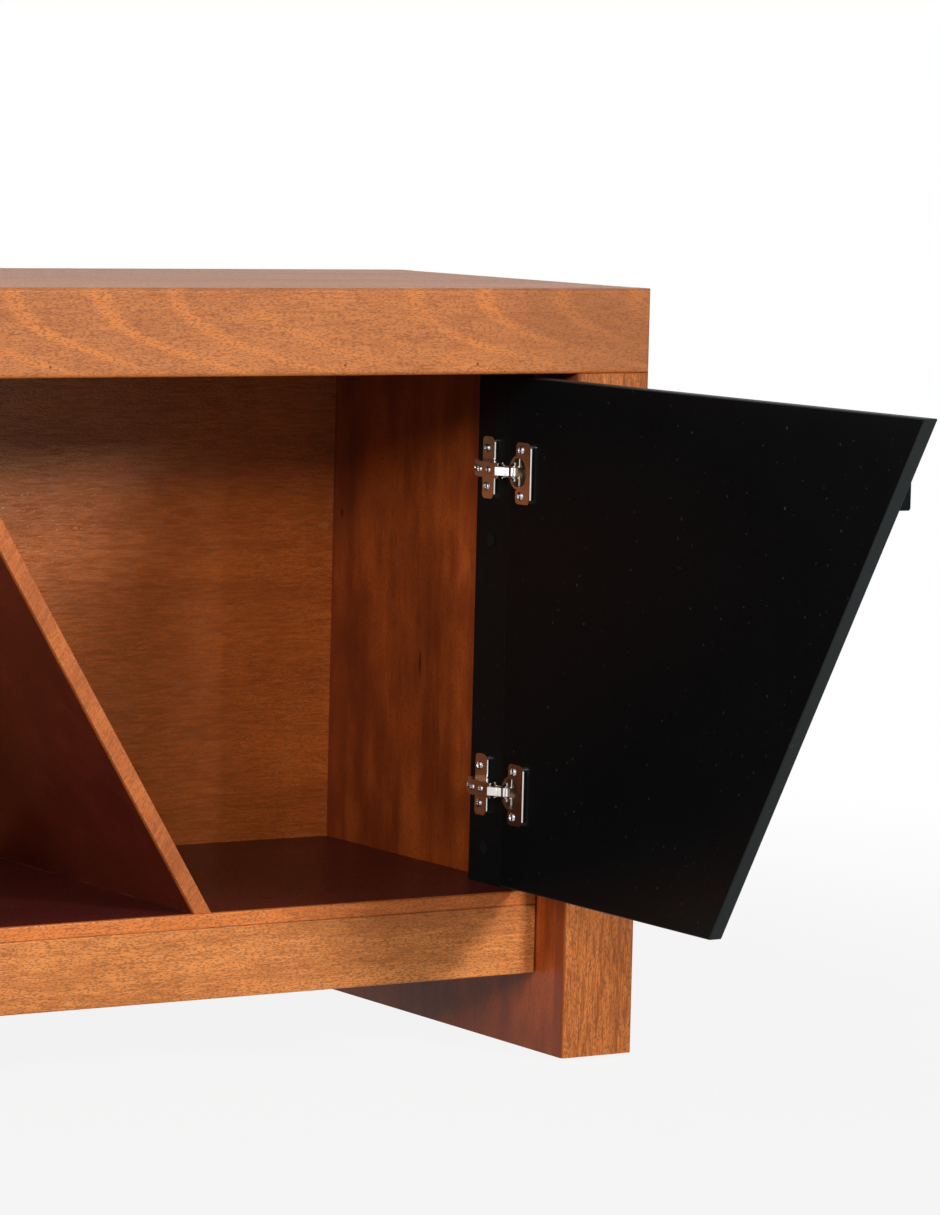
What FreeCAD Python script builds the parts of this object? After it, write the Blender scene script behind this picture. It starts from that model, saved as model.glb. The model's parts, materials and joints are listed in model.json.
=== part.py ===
import FreeCAD, Part
import math
import os

V = FreeCAD.Vector
UP = V(0, 0, 1)

# Low television stand. Frame: X to the right, Y to the back, Z up, origin on the floor under its centre.
# A thick top lies on two thick ends. Between them hangs a thin carcase, set back from the front,
# with two leaning dividers that leave an open bay in the middle and a door bay at each end.
# The right door stands open and the left door is shut.

# Overall sizes, millimetres
WIDTH = 1600.0
DEPTH = 400.0
THICK = 70.0            # thickness of the top and of the two ends
OPENING_H = 434.0       # clear height of the bays
FLOOR_GAP = 70.0        # floor to the underside of the base rails
SETBACK = 42.0          # frame front to the front edge of the carcase
EDGE_ROUND = 3.5        # rounded long edges of the thick boards

# Hollow-core boards of the frame
SKIN = 6.0
LIPPING = 22.0
END_LIPPING = 14.0      # thinner lippings on the upright edges of the ends
RIB = 18.0
RIBS_PER_HALF = 3

# Thin boards of the carcase
BOARD = 12.0
BOARD_LIPPING = 5.0
BASE_RAIL_H = 58.0
BASE_RAIL_T = 18.0
RAIL_END_GAP = 2.0
BACK_T = 6.0
BACK_INSET = 5.0
DIVIDER_T = 13.3
DIVIDER_FOOT = 313.0    # inner face of the end to the divider at the floor of the bay
DIVIDER_HEAD = 575.0    # the same, under the top
CABLE_HOLE_R = 30.0
CABLE_HOLE_UP = 120.0   # bay floor to the middle of the cable hole
GROMMET_LIP = 5.0
GROMMET_T = 2.0
GROMMET_WALL = 2.0

# Feet
GLIDE_R = 14.0
GLIDE_H = 4.0
GLIDE_INSET = 45.0
FOOT_R = 20.0
FOOT_PAD_H = 8.0
FOOT_STEM_R = 5.0
FOOT_SOCKET_R = 9.0
FOOT_SOCKET_H = 25.0

# Doors
DOOR_T = 12.0
DOOR_GAP = 4.0          # top, bottom and slanted edge
HINGE_GAP = 2.9         # hinge edge to the end, when shut
HINGE_FROM_END = 79.5   # door's top or bottom edge to the middle of a hinge
RIGHT_OPEN_DEG = 90.0
LEFT_OPEN_DEG = 0.0
KNOB = 24.0
KNOB_ROUND = 2.5
KNOB_CHAMFER = 1.0
KNOB_BODY = 15.0
KNOB_NECK = 5.0
KNOB_NECK_R = 6.0
KNOB_STUD_R = 2.0
KNOB_STUD = 8.0
KNOB_BELOW_TOP = 61.0
KNOB_FROM_EDGE = 31.0

# Hinge batten
BATTEN_T = 22.0
BATTEN_W = 48.5
BATTEN_FROM = 27.0      # carcase front edge to the front edge of the batten
CAP_R = 6.0
CAP_T = 1.0
CAP_BELOW_TOP = 144.0
CAP_ABOVE_FLOOR = 30.0
BATTEN_SCREW_R = 2.5
BATTEN_SCREW_IN = 12.0

# Cup hinge. Places on the cabinet are (out, back): out from the inner face of the end towards the
# middle, back from the carcase's front edge. Places on the door are (along, deep): along the door from
# its hinge edge, deep from its inner face.
OPEN_FACE_OUT = 33.8    # inner face of the door when it is open 90 degrees
OPEN_EDGE_BACK = 9.65   # hinge edge of the door when it is open 90 degrees
CUP_ALONG = 17.0
CUP_R = 13.0
CUP_DEPTH = 9.0
SHEET = 0.8
RIM_R = 14.4
RIM_T = 1.0
FLANGE_H = 51.0
FLANGE_FROM = 16.0
FLANGE_TO = 37.0
FLANGE_ROUND = 4.0
FLANGE_T = 3.0
CUP_SCREWS = 38.0
CUP_SCREW_ALONG = 23.0
LINK_SLOT_DEEP = 4.6    # cut in the cup's wall and the door that lets the links in over the edge
LINK_SLOT_FROM = 2.0
LINK_SLOT_GAP = 0.6
PIN_R = 0.9
PIN_FIT = 0.05
LINK_T = 2.0
EYE_R = 1.9
SHORT_PIN_ALONG = 11.07     # pin of the short link in the cup
SHORT_PIN_DEEP = 4.02
LONG_PIN_ALONG = 7.51       # pin of the long link in the cup
LONG_PIN_DEEP = 1.76
SHORT_TURN = -0.559         # turn of the short link for one degree of the door
LONG_TURN = -0.348          # turn of the long link for one degree of the door
TRUE_FROM_DEG = 12.0        # openings of the door where the long link's eye is true to its pin
TRUE_TO_DEG = 78.0
LOOSE_EYE = 0.8             # play of the long link's eye on its pin at the other openings
LONG_HALF_W = 3.6           # the long link runs in the middle of the hinge
SHORT_IN = 4.0              # the short link is a pair of straps, one on each side of it
SHORT_OUT = 5.2
CHEEK_IN = 5.6
CHEEK_OUT = 6.6
SHORT_BEND_ALONG = -4.57    # first bend of the short link, with the door open
SHORT_BEND_OVER = 1.69      # and its height over the door's inner face
SHORT_HOOK_ALONG = 9.65     # second bend, where it turns into the cup
SHORT_HOOK_OVER = 0.89
LONG_HOOK_ALONG = 8.29      # bend of the long link over the cup
LONG_HOOK_OVER = 4.01
PLATE_T = 3.0
PLATE_H = 52.0
PLATE_FROM = 46.0
PLATE_TO = 63.0
PLATE_SCREWS = 32.0
PLATE_SCREW_BACK = 57.0
RAIL_HALF = 5.2
RAIL_H = 4.0
ARM_BACK = 62.5
ARM_LOW = 33.0              # out, top of the arm over the plate
ARM_WEB = 1.0
ARM_NOSE = 2.2
ARM_HEAD_R = 2.4
WOOD_SCREW_R = 1.7
WOOD_SCREW_IN = 9.0
HEAD_R = 3.5
HEAD_T = 1.8
SCREW_FIT = 0.05

# Dowels and screws of the frame
DOWEL_R = 4.0
DOWEL_IN = 18.0
DOWEL_FIT = 0.1
SMALL_DOWEL_R = 2.0
SMALL_DOWEL_IN = 7.0
BACK_SCREW_R = 1.6
BACK_SCREW_IN = 16.0
BACK_SCREW_PITCH = 290.0
BASE_BOLT_R = 3.0
BASE_BOLT_IN = 14.0

# Levels and planes worked out from the sizes above
BASE_Z = FLOOR_GAP + BASE_RAIL_H
BAY_FLOOR = BASE_Z + BOARD
TOP_Z = BAY_FLOOR + OPENING_H
HEIGHT = TOP_Z + THICK
HALF_W = WIDTH / 2
FRONT = -DEPTH / 2
BACK = DEPTH / 2
END_X = HALF_W - THICK
CARCASE_Y = FRONT + SETBACK
BACK_PANEL_Y = BACK - BACK_INSET - BACK_T
BAY_DEPTH = BACK_PANEL_Y - CARCASE_Y
CORE_Y0 = FRONT + LIPPING
CORE_DEPTH = DEPTH - 2 * LIPPING
END_Y0 = FRONT + END_LIPPING
END_Y1 = BACK - END_LIPPING
LEAN = (DIVIDER_HEAD - DIVIDER_FOOT) / OPENING_H
LEAN_COS = 1 / math.sqrt(1 + LEAN * LEAN)
DIVIDER_RUN = DIVIDER_T / LEAN_COS
DOOR_BOTTOM = BAY_FLOOR + DOOR_GAP
DOOR_TOP = TOP_Z - DOOR_GAP
HINGE_ZS = (DOOR_BOTTOM + HINGE_FROM_END, DOOR_TOP - HINGE_FROM_END)
CAP_ZS = (BAY_FLOOR + CAP_ABOVE_FLOOR, TOP_Z - CAP_BELOW_TOP)
BATTEN_MID_Y = CARCASE_Y + BATTEN_FROM + BATTEN_W / 2


def box(x0, x1, y0, y1, z0, z1):
    """A box between two corners."""
    return Part.makeBox(x1 - x0, y1 - y0, z1 - z0, V(x0, y0, z0))


def rod(r, base, axis, length):
    """A round bar from a point along an axis."""
    return Part.makeCylinder(r, length, base, axis)


def prism(points, along):
    """A straight prism over a flat outline."""
    return Part.Face(Part.makePolygon(points + points[:1])).extrude(along)


def rounded(shape, radius, picks):
    """Fillets the edges that picks accepts."""
    return shape.makeFillet(radius, [e for e in shape.Edges if picks(e)]).Solids[0]


def mirrored(shape):
    """The same piece on the other end of the stand."""
    return shape.mirror(V(0, 0, 0), V(1, 0, 0))


def line_along(edge, axis):
    """Is this edge a straight line along the axis?"""
    if not isinstance(edge.Curve, Part.Line):
        return False
    return abs(abs(edge.tangentAt(edge.FirstParameter).dot(axis)) - 1) < 1e-6


nodes = {}


def add(name, *solids):
    """Files the solids of one named piece."""
    nodes[name] = list(solids)


# Holes for dowels, shared by the boards that they join
top_dowel_x = HALF_W - LIPPING / 2 - SKIN / 2
top_dowel_ys = [FRONT + DEPTH * k / 6 for k in (1.5, 3, 4.5)]
top_dowel_spots = [(side * top_dowel_x, y) for side in (-1, 1) for y in top_dowel_ys]
divider_mid_foot = END_X - DIVIDER_FOOT - DIVIDER_RUN / 2
divider_mid_head = END_X - DIVIDER_HEAD - DIVIDER_RUN / 2
divider_dowel_ys = [CARCASE_Y + BAY_DEPTH * k for k in (0.15, 0.5, 0.85)]


def top_dowel(fit=0.0):
    """Dowels between the ends and the top."""
    low = TOP_Z - DOWEL_IN - fit
    return [rod(DOWEL_R + fit, V(x, y, low), UP, 2 * (DOWEL_IN + fit)) for x, y in top_dowel_spots]


def divider_dowels(fit=0.0):
    """Upright dowels at the foot and the head of both dividers."""
    pegs = []
    for side in (-1, 1):
        for y in divider_dowel_ys:
            for x, z in ((divider_mid_foot, BAY_FLOOR), (divider_mid_head, TOP_Z)):
                base = V(side * x, y, z - SMALL_DOWEL_IN - fit)
                pegs.append(rod(SMALL_DOWEL_R + fit, base, UP, 2 * (SMALL_DOWEL_IN + fit)))
    return pegs


def cut(shape, holes):
    """The solid that is left after the holes are cut."""
    return shape.cut(holes).Solids[0]


def bored(shape, holes):
    """The board with those of the holes that reach it."""
    reach = [h for h in holes if h.BoundBox.intersect(shape.BoundBox)]
    return cut(shape, reach) if reach else shape


def joined(shape, *others):
    """One solid out of several that touch."""
    return shape.fuse(list(others)).removeSplitter().Solids[0]


peg_holes = top_dowel(DOWEL_FIT) + divider_dowels(DOWEL_FIT)
add("top_dowels", *top_dowel())
add("divider_dowels", *divider_dowels())

# Thick top: two skins and cross ribs inside a frame of solid lippings with rounded long edges
top_front = box(-HALF_W, HALF_W, FRONT, CORE_Y0, TOP_Z, HEIGHT)
top_front = rounded(top_front, EDGE_ROUND, lambda e: e.BoundBox.YMax < FRONT + 1e-6)
top_back = box(-HALF_W, HALF_W, BACK - LIPPING, BACK, TOP_Z, HEIGHT)
top_back = rounded(top_back, EDGE_ROUND, lambda e: e.BoundBox.YMin > BACK - 1e-6)
top_side = box(HALF_W - LIPPING, HALF_W, CORE_Y0, CORE_Y0 + CORE_DEPTH, TOP_Z, HEIGHT)
top_side = rounded(
    top_side, EDGE_ROUND, lambda e: e.BoundBox.XMin > HALF_W - 1e-6 and line_along(e, V(0, 1, 0))
)
inner_half = HALF_W - LIPPING
core_y1 = CORE_Y0 + CORE_DEPTH
add("top_front_lipping", top_front)
add("top_back_lipping", top_back)
add("top_right_lipping", bored(top_side, peg_holes))
add("top_left_lipping", bored(mirrored(top_side), peg_holes))
add("top_upper_skin", box(-inner_half, inner_half, CORE_Y0, core_y1, HEIGHT - SKIN, HEIGHT))
lower_skin = box(-inner_half, inner_half, CORE_Y0, core_y1, TOP_Z, TOP_Z + SKIN)
add("top_lower_skin", bored(lower_skin, peg_holes))
rib_step = (END_X + THICK / 2 - divider_mid_head) / RIBS_PER_HALF
rib_xs = [divider_mid_head + rib_step * k for k in range(RIBS_PER_HALF + 1)]
ribs = []
for x in [-x for x in reversed(rib_xs)] + rib_xs:
    rib = box(x - RIB / 2, x + RIB / 2, CORE_Y0, core_y1, TOP_Z + SKIN, HEIGHT - SKIN)
    ribs.append(bored(rib, peg_holes))
add("top_core_ribs", *ribs)

# Thick ends, built like the top, with core blocks at the head, at the foot and behind the batten's screws
end_z0 = GLIDE_H
end_core_x0 = END_X + SKIN
end_core_x1 = HALF_W - SKIN
end_block_zs = [end_z0 + LIPPING / 2, TOP_Z - LIPPING / 2] + list(CAP_ZS) + [(FLOOR_GAP + BASE_Z) / 2]
base_bolt_ys = [CARCASE_Y + BAY_DEPTH * k for k in (0.25, 0.75)]
base_bolt_z = (FLOOR_GAP + BASE_Z) / 2


def batten_screws(fit=0.0):
    """Two screws through the batten into the end, each under a small round cap."""
    length = BATTEN_T + SKIN + BATTEN_SCREW_IN
    start = END_X - BATTEN_T
    return [rod(BATTEN_SCREW_R + fit, V(start, BATTEN_MID_Y, z), V(1, 0, 0), length + fit) for z in CAP_ZS]


def base_bolts(fit=0.0):
    """Bolts from the outer base bearers into the end."""
    length = BASE_RAIL_T + SKIN + BASE_BOLT_IN
    start = END_X - BASE_RAIL_T
    seats = [V(start, y, base_bolt_z) for y in base_bolt_ys]
    shanks = [rod(BASE_BOLT_R + fit, seat, V(1, 0, 0), length + fit) for seat in seats]
    heads = [rod(2 * BASE_BOLT_R, seat, V(-1, 0, 0), BASE_BOLT_R) for seat in seats]
    return shanks if fit else [joined(s, h) for s, h in zip(shanks, heads)]


end_holes = batten_screws(SCREW_FIT) + base_bolts(SCREW_FIT) + [h for h in peg_holes if h.BoundBox.XMin > 0]
end_front = box(END_X, HALF_W, FRONT, END_Y0, end_z0, TOP_Z)
end_front = rounded(end_front, EDGE_ROUND, lambda e: e.BoundBox.YMax < FRONT + 1e-6 and line_along(e, UP))
end_back = box(END_X, HALF_W, END_Y1, BACK, end_z0, TOP_Z)
end_back = rounded(end_back, EDGE_ROUND, lambda e: e.BoundBox.YMin > BACK - 1e-6 and line_along(e, UP))
end_pieces = {
    "front_lipping": [end_front],
    "back_lipping": [end_back],
    "outer_skin": [box(HALF_W - SKIN, HALF_W, END_Y0, END_Y1, end_z0, TOP_Z)],
    "inner_skin": [bored(box(END_X, END_X + SKIN, END_Y0, END_Y1, end_z0, TOP_Z), end_holes)],
    "core_blocks": [
        bored(box(end_core_x0, end_core_x1, END_Y0, END_Y1, z - LIPPING / 2, z + LIPPING / 2), end_holes)
        for z in end_block_zs
    ],
}
for name, solids in end_pieces.items():
    add("right_end_" + name, *solids)
    add("left_end_" + name, *[mirrored(s) for s in solids])

# Thin carcase: floor board with a solid lipping, base rails and bearers under it, back panel, dividers
floor_board = box(-END_X, END_X, CARCASE_Y + BOARD_LIPPING, BACK_PANEL_Y, BASE_Z, BAY_FLOOR)
floor_board = bored(floor_board, peg_holes)
rail_half = END_X - RAIL_END_GAP
lipping_y1 = CARCASE_Y + BOARD_LIPPING
add("floor_lipping", box(-rail_half, rail_half, CARCASE_Y, lipping_y1, BASE_Z, BAY_FLOOR))
rail_y1 = CARCASE_Y + BASE_RAIL_T
back_rail_y0 = BACK_PANEL_Y - BASE_RAIL_T
add("front_apron", box(-rail_half, rail_half, CARCASE_Y, rail_y1, FLOOR_GAP, BASE_Z))
add("back_base_rail", box(-rail_half, rail_half, back_rail_y0, BACK_PANEL_Y, FLOOR_GAP, BASE_Z))


def back_screws(fit=0.0):
    """Screws through the back panel into the back edge of the floor board."""
    count = int((END_X - BACK_SCREW_PITCH / 4) // BACK_SCREW_PITCH)
    z = BASE_Z + BOARD / 2
    shafts = []
    for k in range(-count, count + 1):
        base = V(k * BACK_SCREW_PITCH, BACK_PANEL_Y + BACK_T, z)
        shank = rod(BACK_SCREW_R + fit, base, V(0, -1, 0), BACK_T + BACK_SCREW_IN + fit)
        head = rod(2 * BACK_SCREW_R, base, V(0, 1, 0), BACK_SCREW_R)
        shafts.append(shank if fit else joined(shank, head))
    return shafts


add("floor_board", bored(floor_board, back_screws(SCREW_FIT)))
add("back_panel_screws", *back_screws())
cable_spot = V(0, BACK_PANEL_Y, BAY_FLOOR + CABLE_HOLE_UP)
cable_hole = rod(CABLE_HOLE_R, cable_spot, V(0, 1, 0), BACK_T)
back_panel = box(-END_X, END_X, BACK_PANEL_Y, BACK_PANEL_Y + BACK_T, BASE_Z, TOP_Z)
add("back_panel", bored(back_panel, back_screws(SCREW_FIT) + [cable_hole]))
grommet_r = CABLE_HOLE_R - DOWEL_FIT
grommet = rod(grommet_r, cable_spot - V(0, GROMMET_T, 0), V(0, 1, 0), GROMMET_T + BACK_T)
grommet = joined(grommet, rod(grommet_r + GROMMET_LIP, cable_spot, V(0, -1, 0), GROMMET_T))
outlet = rod(grommet_r - GROMMET_WALL, cable_spot - V(0, GROMMET_T, 0), V(0, 1, 0), GROMMET_T + BACK_T)
add("cable_grommet", cut(grommet, [outlet]))

bearer_xs = [0, END_X - BASE_RAIL_T / 2, divider_mid_foot]
bearers = []
for x in [-x for x in bearer_xs[1:]] + bearer_xs:
    bearer = box(x - BASE_RAIL_T / 2, x + BASE_RAIL_T / 2, rail_y1, back_rail_y0, FLOOR_GAP, BASE_Z)
    holes = base_bolts(SCREW_FIT)
    bearers.append(bored(bearer, holes + [mirrored(h) for h in holes]))

divider_outline = [
    V(END_X - DIVIDER_FOOT, CARCASE_Y, BAY_FLOOR),
    V(END_X - DIVIDER_FOOT - DIVIDER_RUN, CARCASE_Y, BAY_FLOOR),
    V(END_X - DIVIDER_HEAD - DIVIDER_RUN, CARCASE_Y, TOP_Z),
    V(END_X - DIVIDER_HEAD, CARCASE_Y, TOP_Z),
]
divider_lipping = prism(divider_outline, V(0, BOARD_LIPPING, 0))
board_outline = [p + V(0, BOARD_LIPPING, 0) for p in divider_outline]
divider = prism(board_outline, V(0, BAY_DEPTH - BOARD_LIPPING, 0))
add("right_divider", bored(divider, peg_holes))
add("left_divider", bored(mirrored(divider), peg_holes))
add("right_divider_lipping", divider_lipping)
add("left_divider_lipping", mirrored(divider_lipping))

# Feet: nylon glides under the ends, and a screw foot under the middle of the base
glide_spots = [
    (x, y)
    for x in (END_X + THICK / 2, -END_X - THICK / 2)
    for y in (FRONT + GLIDE_INSET, BACK - GLIDE_INSET)
]
add("floor_glides", *[
    Part.makeCone(GLIDE_R - GLIDE_H / 2, GLIDE_R, GLIDE_H, V(x, y, 0)) for x, y in glide_spots
])
socket_z0 = FLOOR_GAP - EDGE_ROUND
foot_pad = Part.makeCone(FOOT_R, FOOT_R - FOOT_PAD_H / 2, FOOT_PAD_H, V(0, 0, 0))
foot_stem = rod(FOOT_STEM_R, V(0, 0, 0), UP, FLOOR_GAP + FOOT_SOCKET_H)
foot_socket = rod(FOOT_SOCKET_R, V(0, 0, FLOOR_GAP), UP, FOOT_SOCKET_H)
foot_socket = joined(foot_socket, rod(2 * FOOT_SOCKET_R, V(0, 0, socket_z0), UP, FLOOR_GAP - socket_z0))
add("centre_foot", joined(foot_pad, foot_stem))
add("foot_socket", cut(foot_socket, [rod(FOOT_STEM_R + DOWEL_FIT, V(0, 0, 0), UP, BASE_Z)]))
socket_hole = rod(FOOT_SOCKET_R + DOWEL_FIT, V(0, 0, FLOOR_GAP), UP, FOOT_SOCKET_H)
block_half = 2 * FOOT_SOCKET_R
foot_block = box(-block_half, block_half, -block_half, block_half, FLOOR_GAP, BASE_Z)
bearers = [joined(b, foot_block) if abs(b.CenterOfMass.x) < 1 else b for b in bearers]
add("base_bearers", *[bored(b, [socket_hole]) for b in bearers])


# Doors on cup hinges, drawn for the right end with the door open 90 degrees
def spot(out, back, z=0.0):
    """A place on the cabinet's right end: out from the end, back from the carcase's front edge."""
    return V(END_X - out, CARCASE_Y + back, z)


def door_spot(along, deep, z=0.0):
    """A place on the right door, with the door open 90 degrees."""
    return spot(OPEN_FACE_OUT - deep, OPEN_EDGE_BACK - along, z)


def shut_spot(along, deep):
    """The same place with the door shut."""
    return spot(HINGE_GAP + along, DOOR_T - deep)


def turning_point(shut, opened, angle):
    """The centre about which a turn by the angle carries one place to the other."""
    turn = FreeCAD.Rotation(UP, angle)
    half = (opened - shut) * 0.5
    lift = UP.cross(half) * (1 / math.tan(math.radians(angle / 2)))
    assert (turn.multVec(shut - (shut + half + lift)) + (shut + half + lift) - opened).Length < 1e-6
    return shut + half + lift


def on_door(place, opening):
    """Where a place on the open door lies at another opening: it swings on the pin of the short link."""
    carried = FreeCAD.Rotation(UP, SHORT_TURN * (opening - 90)).multVec(short_pin - short_pivot)
    return short_pivot + carried + FreeCAD.Rotation(UP, opening - 90).multVec(place - short_pin)


short_pin = door_spot(SHORT_PIN_ALONG, SHORT_PIN_DEEP)
long_pin = door_spot(LONG_PIN_ALONG, LONG_PIN_DEEP)
short_pivot = turning_point(shut_spot(SHORT_PIN_ALONG, SHORT_PIN_DEEP), short_pin, SHORT_TURN * 90)
true_from = on_door(long_pin, TRUE_FROM_DEG)
true_to = on_door(long_pin, TRUE_TO_DEG)
long_pivot = turning_point(true_from, true_to, LONG_TURN * (TRUE_TO_DEG - TRUE_FROM_DEG))
eye_turn = FreeCAD.Rotation(UP, LONG_TURN * (90 - TRUE_TO_DEG))
long_eye = long_pivot + eye_turn.multVec(true_to - long_pivot)


def screw(seat, shank_r, shank, head_r, fit):
    """A pan-head screw that points at the end of the stand, or with a fit the hole for it."""
    body = rod(shank_r + fit, seat, V(1, 0, 0), shank + fit)
    if fit:
        return body
    return joined(body, Part.makeCone(head_r, head_r - HEAD_T / 2, HEAD_T, seat, V(-1, 0, 0)))


def plate_screws(z, fit=0.0):
    """Two screws of a mounting plate, into the batten."""
    seats = [spot(BATTEN_T + PLATE_T, PLATE_SCREW_BACK, z + k * PLATE_SCREWS / 2) for k in (-1, 1)]
    return [screw(seat, WOOD_SCREW_R, PLATE_T + WOOD_SCREW_IN, HEAD_R, fit) for seat in seats]


def cup_screws(z, fit=0.0):
    """Two screws of a cup's flange, into the door."""
    seats = [door_spot(CUP_SCREW_ALONG, -FLANGE_T, z + k * CUP_SCREWS / 2) for k in (-1, 1)]
    return [screw(seat, WOOD_SCREW_R, FLANGE_T + WOOD_SCREW_IN, HEAD_R, fit) for seat in seats]


def arm_screws(z, fit=0.0):
    """Fixing and adjusting screw of the arm, through its back into the rail of the plate."""
    rear = ARM_BACK - ARM_HEAD_R - ARM_WEB / 2
    seats = [spot(ARM_LOW, rear - k * (2 * ARM_HEAD_R + PIN_R / 2), z) for k in (0, 1)]
    return [screw(seat, WOOD_SCREW_R, ARM_LOW - BATTEN_T - PLATE_T, ARM_HEAD_R, fit) for seat in seats]


def mounting_plate(z):
    """Cross plate: two wings for the screws and a raised rail that the arm straddles."""
    y0 = CARCASE_Y + PLATE_FROM
    y1 = CARCASE_Y + PLATE_TO
    x1 = END_X - BATTEN_T
    x0 = x1 - PLATE_T
    wings = box(x0, x1, y0, y1, z - PLATE_H / 2, z + PLATE_H / 2)
    wings = rounded(wings, FLANGE_ROUND, lambda e: line_along(e, V(1, 0, 0)))
    rail_end = CARCASE_Y + ARM_BACK - 2 * ARM_WEB
    plate = joined(wings, box(x0 - RAIL_H, x0, y0, rail_end, z - RAIL_HALF, z + RAIL_HALF))
    return cut(plate, plate_screws(z, SCREW_FIT) + arm_screws(z, SCREW_FIT))


def pins(through, half, stub, reach, z, fit):
    """A pin right across for the long link, and a stub on each side for the straps of the short link."""
    made = [rod(PIN_R + fit, through + V(0, 0, z - half), UP, 2 * half)]
    for k in (-1, 1):
        made.append(rod(PIN_R + fit, stub + V(0, 0, z + k * reach), UP * -k, reach - SHORT_IN + PIN_FIT))
    return made


def arm_pins(z, fit=0.0):
    """Rivets in the cheeks of the arm."""
    return pins(long_pivot, CHEEK_OUT, short_pivot, CHEEK_OUT, z, fit)


def cup_pins(z, fit=0.0):
    """Rivets in the wall of the cup."""
    alongs = (LONG_PIN_ALONG, SHORT_PIN_ALONG)
    across, reach = [math.sqrt(CUP_R ** 2 - (CUP_ALONG - along + PIN_R) ** 2) for along in alongs]
    return pins(long_pin, across, short_pin, reach, z, fit)


def hinge_arm(z):
    """Pressed steel channel, cranked from the plate up to the links, open below and in front."""
    foot = BATTEN_T + PLATE_T
    pivot_out = END_X - short_pivot.x
    pivot_back = short_pivot.y - CARCASE_Y
    high = END_X - long_pivot.x + 2 * EYE_R + ARM_WEB
    crank = long_pivot.y - CARCASE_Y + EYE_R + ARM_WEB / 2
    crank_low = crank + (high - ARM_LOW) * 0.45
    nose = pivot_back - ARM_NOSE
    outer = [
        (foot, ARM_BACK), (ARM_LOW, ARM_BACK), (ARM_LOW, crank_low), (high, crank),
        (high, pivot_back + high - pivot_out - ARM_NOSE), (pivot_out + ARM_NOSE, nose),
        (pivot_out - ARM_NOSE, nose), (pivot_out - ARM_NOSE, PLATE_FROM - 2 * CHEEK_OUT),
        (foot, PLATE_FROM),
    ]
    low = ARM_LOW - ARM_WEB
    inner = [
        (0, ARM_BACK - ARM_WEB), (low, ARM_BACK - ARM_WEB), (low, crank_low - ARM_WEB / 2),
        (high - ARM_WEB, crank - ARM_WEB / 2), (high - ARM_WEB, nose - ARM_NOSE), (0, nose - ARM_NOSE),
    ]
    shell = prism([spot(o, b, z - CHEEK_OUT) for o, b in outer], UP * (2 * CHEEK_OUT))
    hollow = prism([spot(o, b, z - CHEEK_IN) for o, b in inner], UP * (2 * CHEEK_IN))
    tip = short_pivot.y - ARM_NOSE
    shell = rounded(shell, ARM_NOSE * 0.8, lambda e: line_along(e, UP) and e.BoundBox.YMax < tip + 1e-6)
    return cut(shell, [hollow] + arm_screws(z, SCREW_FIT) + arm_pins(z, PIN_FIT))


def eye(centre, radius, z0, z1):
    """A round bar across a link: the outside of its eye or the hole in it."""
    return rod(radius, centre + V(0, 0, z0), UP, z1 - z0)


def link(points, outsides, holes, z0, z1):
    """A bent strap of constant thickness with an eye at each end."""
    runs = []
    for a, b in zip(points, points[1:]):
        side = UP.cross(b - a).normalize() * (LINK_T / 2)
        corners = [a - side, b - side, b + side, a + side]
        runs.append(prism([p + V(0, 0, z0) for p in corners], UP * (z1 - z0)))
    runs += [eye(p, LINK_T / 2, z0, z1) for p in points[1:-1]]
    ends = (points[0], points[-1])
    runs += [eye(p, r, z0, z1) for p, r in zip(ends, outsides)]
    return cut(joined(*runs), [eye(p, r, z0, z1) for p, r in zip(ends, holes)])


def long_link(z):
    """The link that shows when the door is open: a wide strap, hooked over its edge into the cup."""
    loose = PIN_R + LOOSE_EYE
    points = [long_pivot, door_spot(LONG_HOOK_ALONG, -LONG_HOOK_OVER), long_eye]
    radii = (EYE_R, loose + SHEET)
    return link(points, radii, (PIN_R + PIN_FIT, loose), z - LONG_HALF_W, z + LONG_HALF_W)


def short_link(z):
    """A pair of narrow straps beside the long link, bent over the door's edge into the cup."""
    bend = door_spot(SHORT_BEND_ALONG, -SHORT_BEND_OVER)
    points = [short_pivot, bend, door_spot(SHORT_HOOK_ALONG, -SHORT_HOOK_OVER), short_pin]
    holes = (PIN_R + PIN_FIT, PIN_R + PIN_FIT)
    spans = ((z - SHORT_OUT, z - SHORT_IN), (z + SHORT_IN, z + SHORT_OUT))
    return [link(points, (EYE_R, EYE_R), holes, z0, z1) for z0, z1 in spans]


def link_slot(z):
    """Room in the rim, the cup's wall and the door for the links where they come over the edge."""
    inner = door_spot(CUP_ALONG, -RIM_T)
    outer = door_spot(LINK_SLOT_FROM, LINK_SLOT_DEEP)
    half = SHORT_OUT + LINK_SLOT_GAP
    return box(inner.x, outer.x, inner.y, outer.y, z - half, z + half)


def hinge_cup(z):
    """Pressed cup sunk in the door, with a rim and a raised flange for two screws."""
    mid = door_spot(CUP_ALONG, 0, z)
    inward = V(1, 0, 0)
    low = door_spot(FLANGE_TO, 0, z - FLANGE_H / 2)
    high = door_spot(FLANGE_FROM, -FLANGE_T, z + FLANGE_H / 2)
    flange = box(high.x, low.x, low.y, high.y, low.z, high.z)
    flange = rounded(flange, FLANGE_ROUND, lambda e: line_along(e, inward))
    cup = joined(rod(CUP_R, mid, inward, CUP_DEPTH), rod(RIM_R, mid, -inward, RIM_T), flange)
    hollow = rod(CUP_R - SHEET, mid - inward * RIM_T, inward, RIM_T + CUP_DEPTH - SHEET)
    step = rod(RIM_R, mid - inward * FLANGE_T, inward, FLANGE_T - RIM_T)
    return cut(cup, [hollow, step, link_slot(z)] + cup_screws(z, SCREW_FIT) + cup_pins(z, PIN_FIT))


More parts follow.
